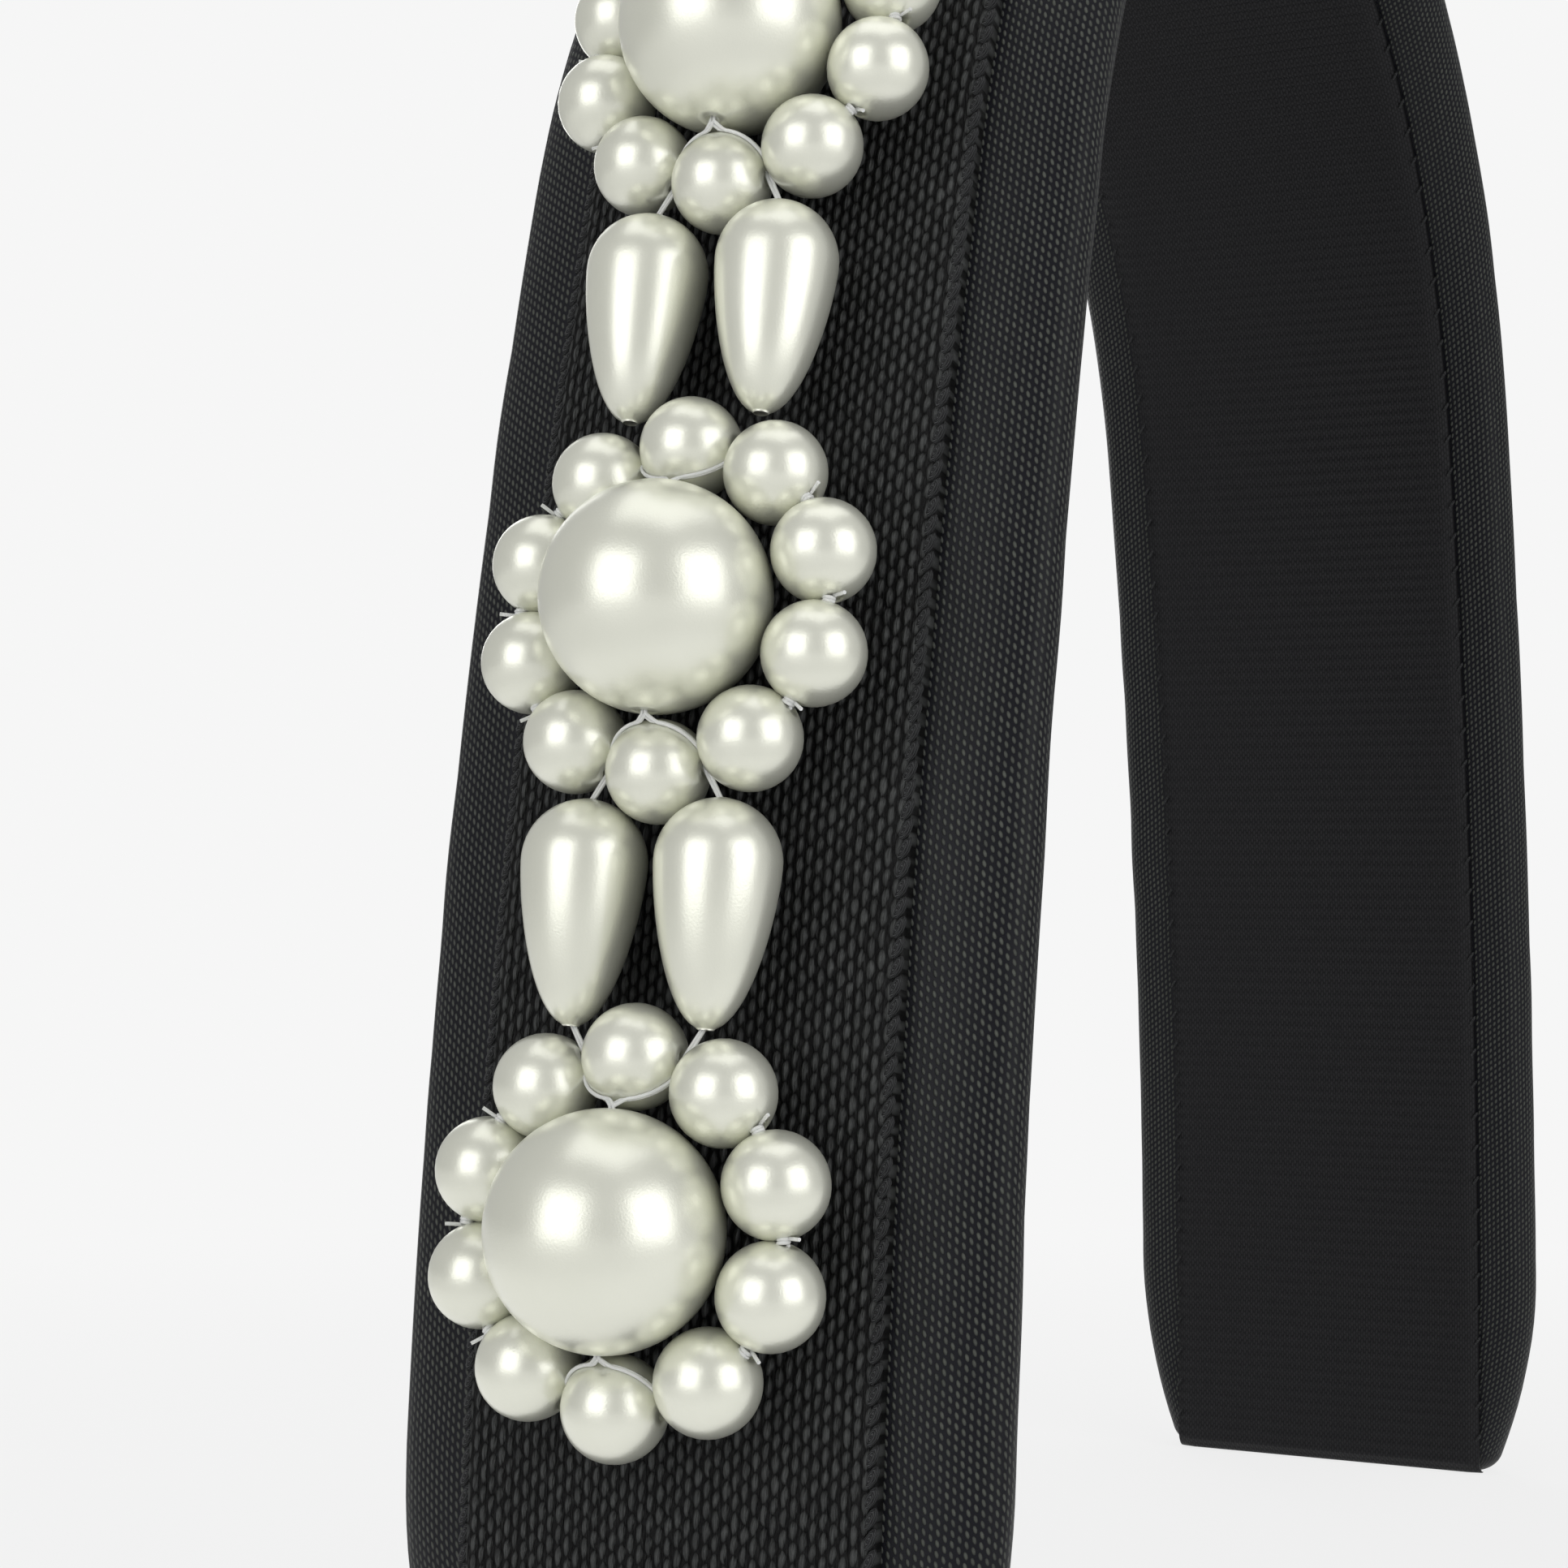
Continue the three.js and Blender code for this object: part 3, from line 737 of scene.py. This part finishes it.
monofilament, nodes, links = new_material("monofilament")
clear = principled(nodes)
clear.inputs["Base Color"].default_value = (0.97, 0.98, 0.97, 1)
clear.inputs["Roughness"].default_value = 0.12
clear.inputs["IOR"].default_value = 1.53
clear.inputs["Transmission Weight"].default_value = 0.35
drawn = nodes.new("ShaderNodeTexNoise")
drawn.inputs["Scale"].default_value = 1500
bump = nodes.new("ShaderNodeBump")
bump.inputs["Distance"].default_value = 0.02 * MM
place = nodes.new("ShaderNodeTexCoord")
links.new(place.outputs["Object"], drawn.inputs["Vector"])
links.new(drawn.outputs["Fac"], bump.inputs["Height"])
links.new(bump.outputs["Normal"], clear.inputs["Normal"])


def taut(start, end, beads, steps=14):
    """A strand pulled tight from start to end, over the surface of any bead in its way."""
    points = []
    for i in range(steps + 1):
        point = start.lerp(end, i / steps)
        for centre, radius in beads:
            off = point - centre
            if off.length < radius + THREAD_RADIUS:
                point = centre + off.normalized() * (radius + THREAD_RADIUS)
        points.append(point)
    return points


def knot_centre(end, side, farther=0):
    radius = KNOT_RADIUS + farther
    return Vector((end * radius * math.cos(KNOT_TURN), side * radius * math.sin(KNOT_TURN),
                   CHAIN_HEIGHT))


def wound_knot(number, hand):
    """Two tight turns round the ring's loop between two beads, with a cut end standing out."""
    turn = 2 * math.pi * (number + 0.5) / BEAD_COUNT
    out = Vector((math.cos(turn), math.sin(turn), 0))
    run = Vector((-math.sin(turn), math.cos(turn), 0))
    centre = out * (KNOT_RADIUS + 0.9 * MM) + Vector((0, 0, CHAIN_HEIGHT + 0.5 * MM))
    points = []
    for i in range(21):
        angle = 2 * math.pi * i / 10 * hand
        points.append(centre + (out * math.cos(angle) + Vector((0, 0, math.sin(angle)))) * 0.32 * MM
                      + run * (i / 20 - 0.5) * 0.4 * MM)
    points.append(points[-1] + out * 0.9 * MM + Vector((0, 0, 0.5 * MM)))
    return points


def thread_piece(name, strands, place, body):
    curve = bpy.data.curves.new(name, "CURVE")
    curve.dimensions = "3D"
    curve.bevel_depth, curve.bevel_resolution = THREAD_RADIUS, 2
    curve.use_fill_caps = True
    for points, closed in strands:
        spline = curve.splines.new("POLY")
        spline.points.add(len(points) - 1)
        for spot, point in zip(spline.points, points):
            spot.co = (*(place @ point), 1)
        spline.use_cyclic_u = closed
    drawn = bpy.data.objects.new(name + "_line", curve)
    made = bpy.data.objects.new(name, bpy.data.meshes.new_from_object(drawn))
    bpy.data.objects.remove(drawn)
    for polygon in made.data.polygons:
        polygon.use_smooth = True
    made.data.materials.append(monofilament)
    bpy.context.scene.collection.objects.link(made)
    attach(made, body)


drop_joints = {joint["child"]: joint for joint in frame["joints"] if joint["child"].startswith("drop_")}
KNOTTED_GAPS = (1, 2, 3, 6, 7, 8)
for flower in range(FLOWER_COUNT):
    number = flower + 1
    centre = flower_place(flower)
    strands = [([bead_centre(i) for i in range(BEAD_COUNT)], True)]
    strands += [(wound_knot(gap, 1 if (gap + flower) % 2 else -1), False) for gap in KNOTTED_GAPS]
    big = (Vector((0, 0, PEARL_HEIGHT)), PEARL_RADIUS)
    for end in (-1, 1):
        hole = Vector((end * (PEARL_RADIUS + THREAD_RADIUS), 0, PEARL_HEIGHT))
        end_bead = (bead_centre(0 if end > 0 else BEAD_COUNT // 2), BEAD_RADIUS)
        for side in (-1, 1):
            for spare in (-0.5, 0.5):
                off = Vector((0, 1.1 * THREAD_RADIUS * spare * 2, 0.6 * THREAD_RADIUS * spare))
                start = Vector((end * (PEARL_RADIUS - 0.6 * MM), 0, PEARL_HEIGHT)) + off * 0.6
                knot = knot_centre(end, side, 0.5 * MM) + off
                strands.append(([start, *taut(hole + off, knot, [end_bead, big])], False))
        pair = number if end > 0 else number - 1
        for side, letter in ((-1, "a"), (1, "b")):
            joint = drop_joints.get(f"drop_{pair}_{letter}")
            if joint is None:
                continue
            axis = Vector(joint["axis"])
            hole = Vector(joint["pos_m"]) - axis * end * (DROP_LENGTH / 2 - 0.3 * MM)
            if body_of[f"ring_{number}"] != joint["parent"]:
                continue
            hole = centre.inverted() @ hole
            for spare in (-1, 1):
                off = Vector((0, 1.1 * THREAD_RADIUS * spare, 0))
                strands.append(([knot_centre(end, side) + off, knot_centre(end, side, 0.9 * MM) + off,
                                 hole + off * 0.5], False))
    thread_piece(f"thread_{number}", strands, centre, body_of[f"ring_{number}"])
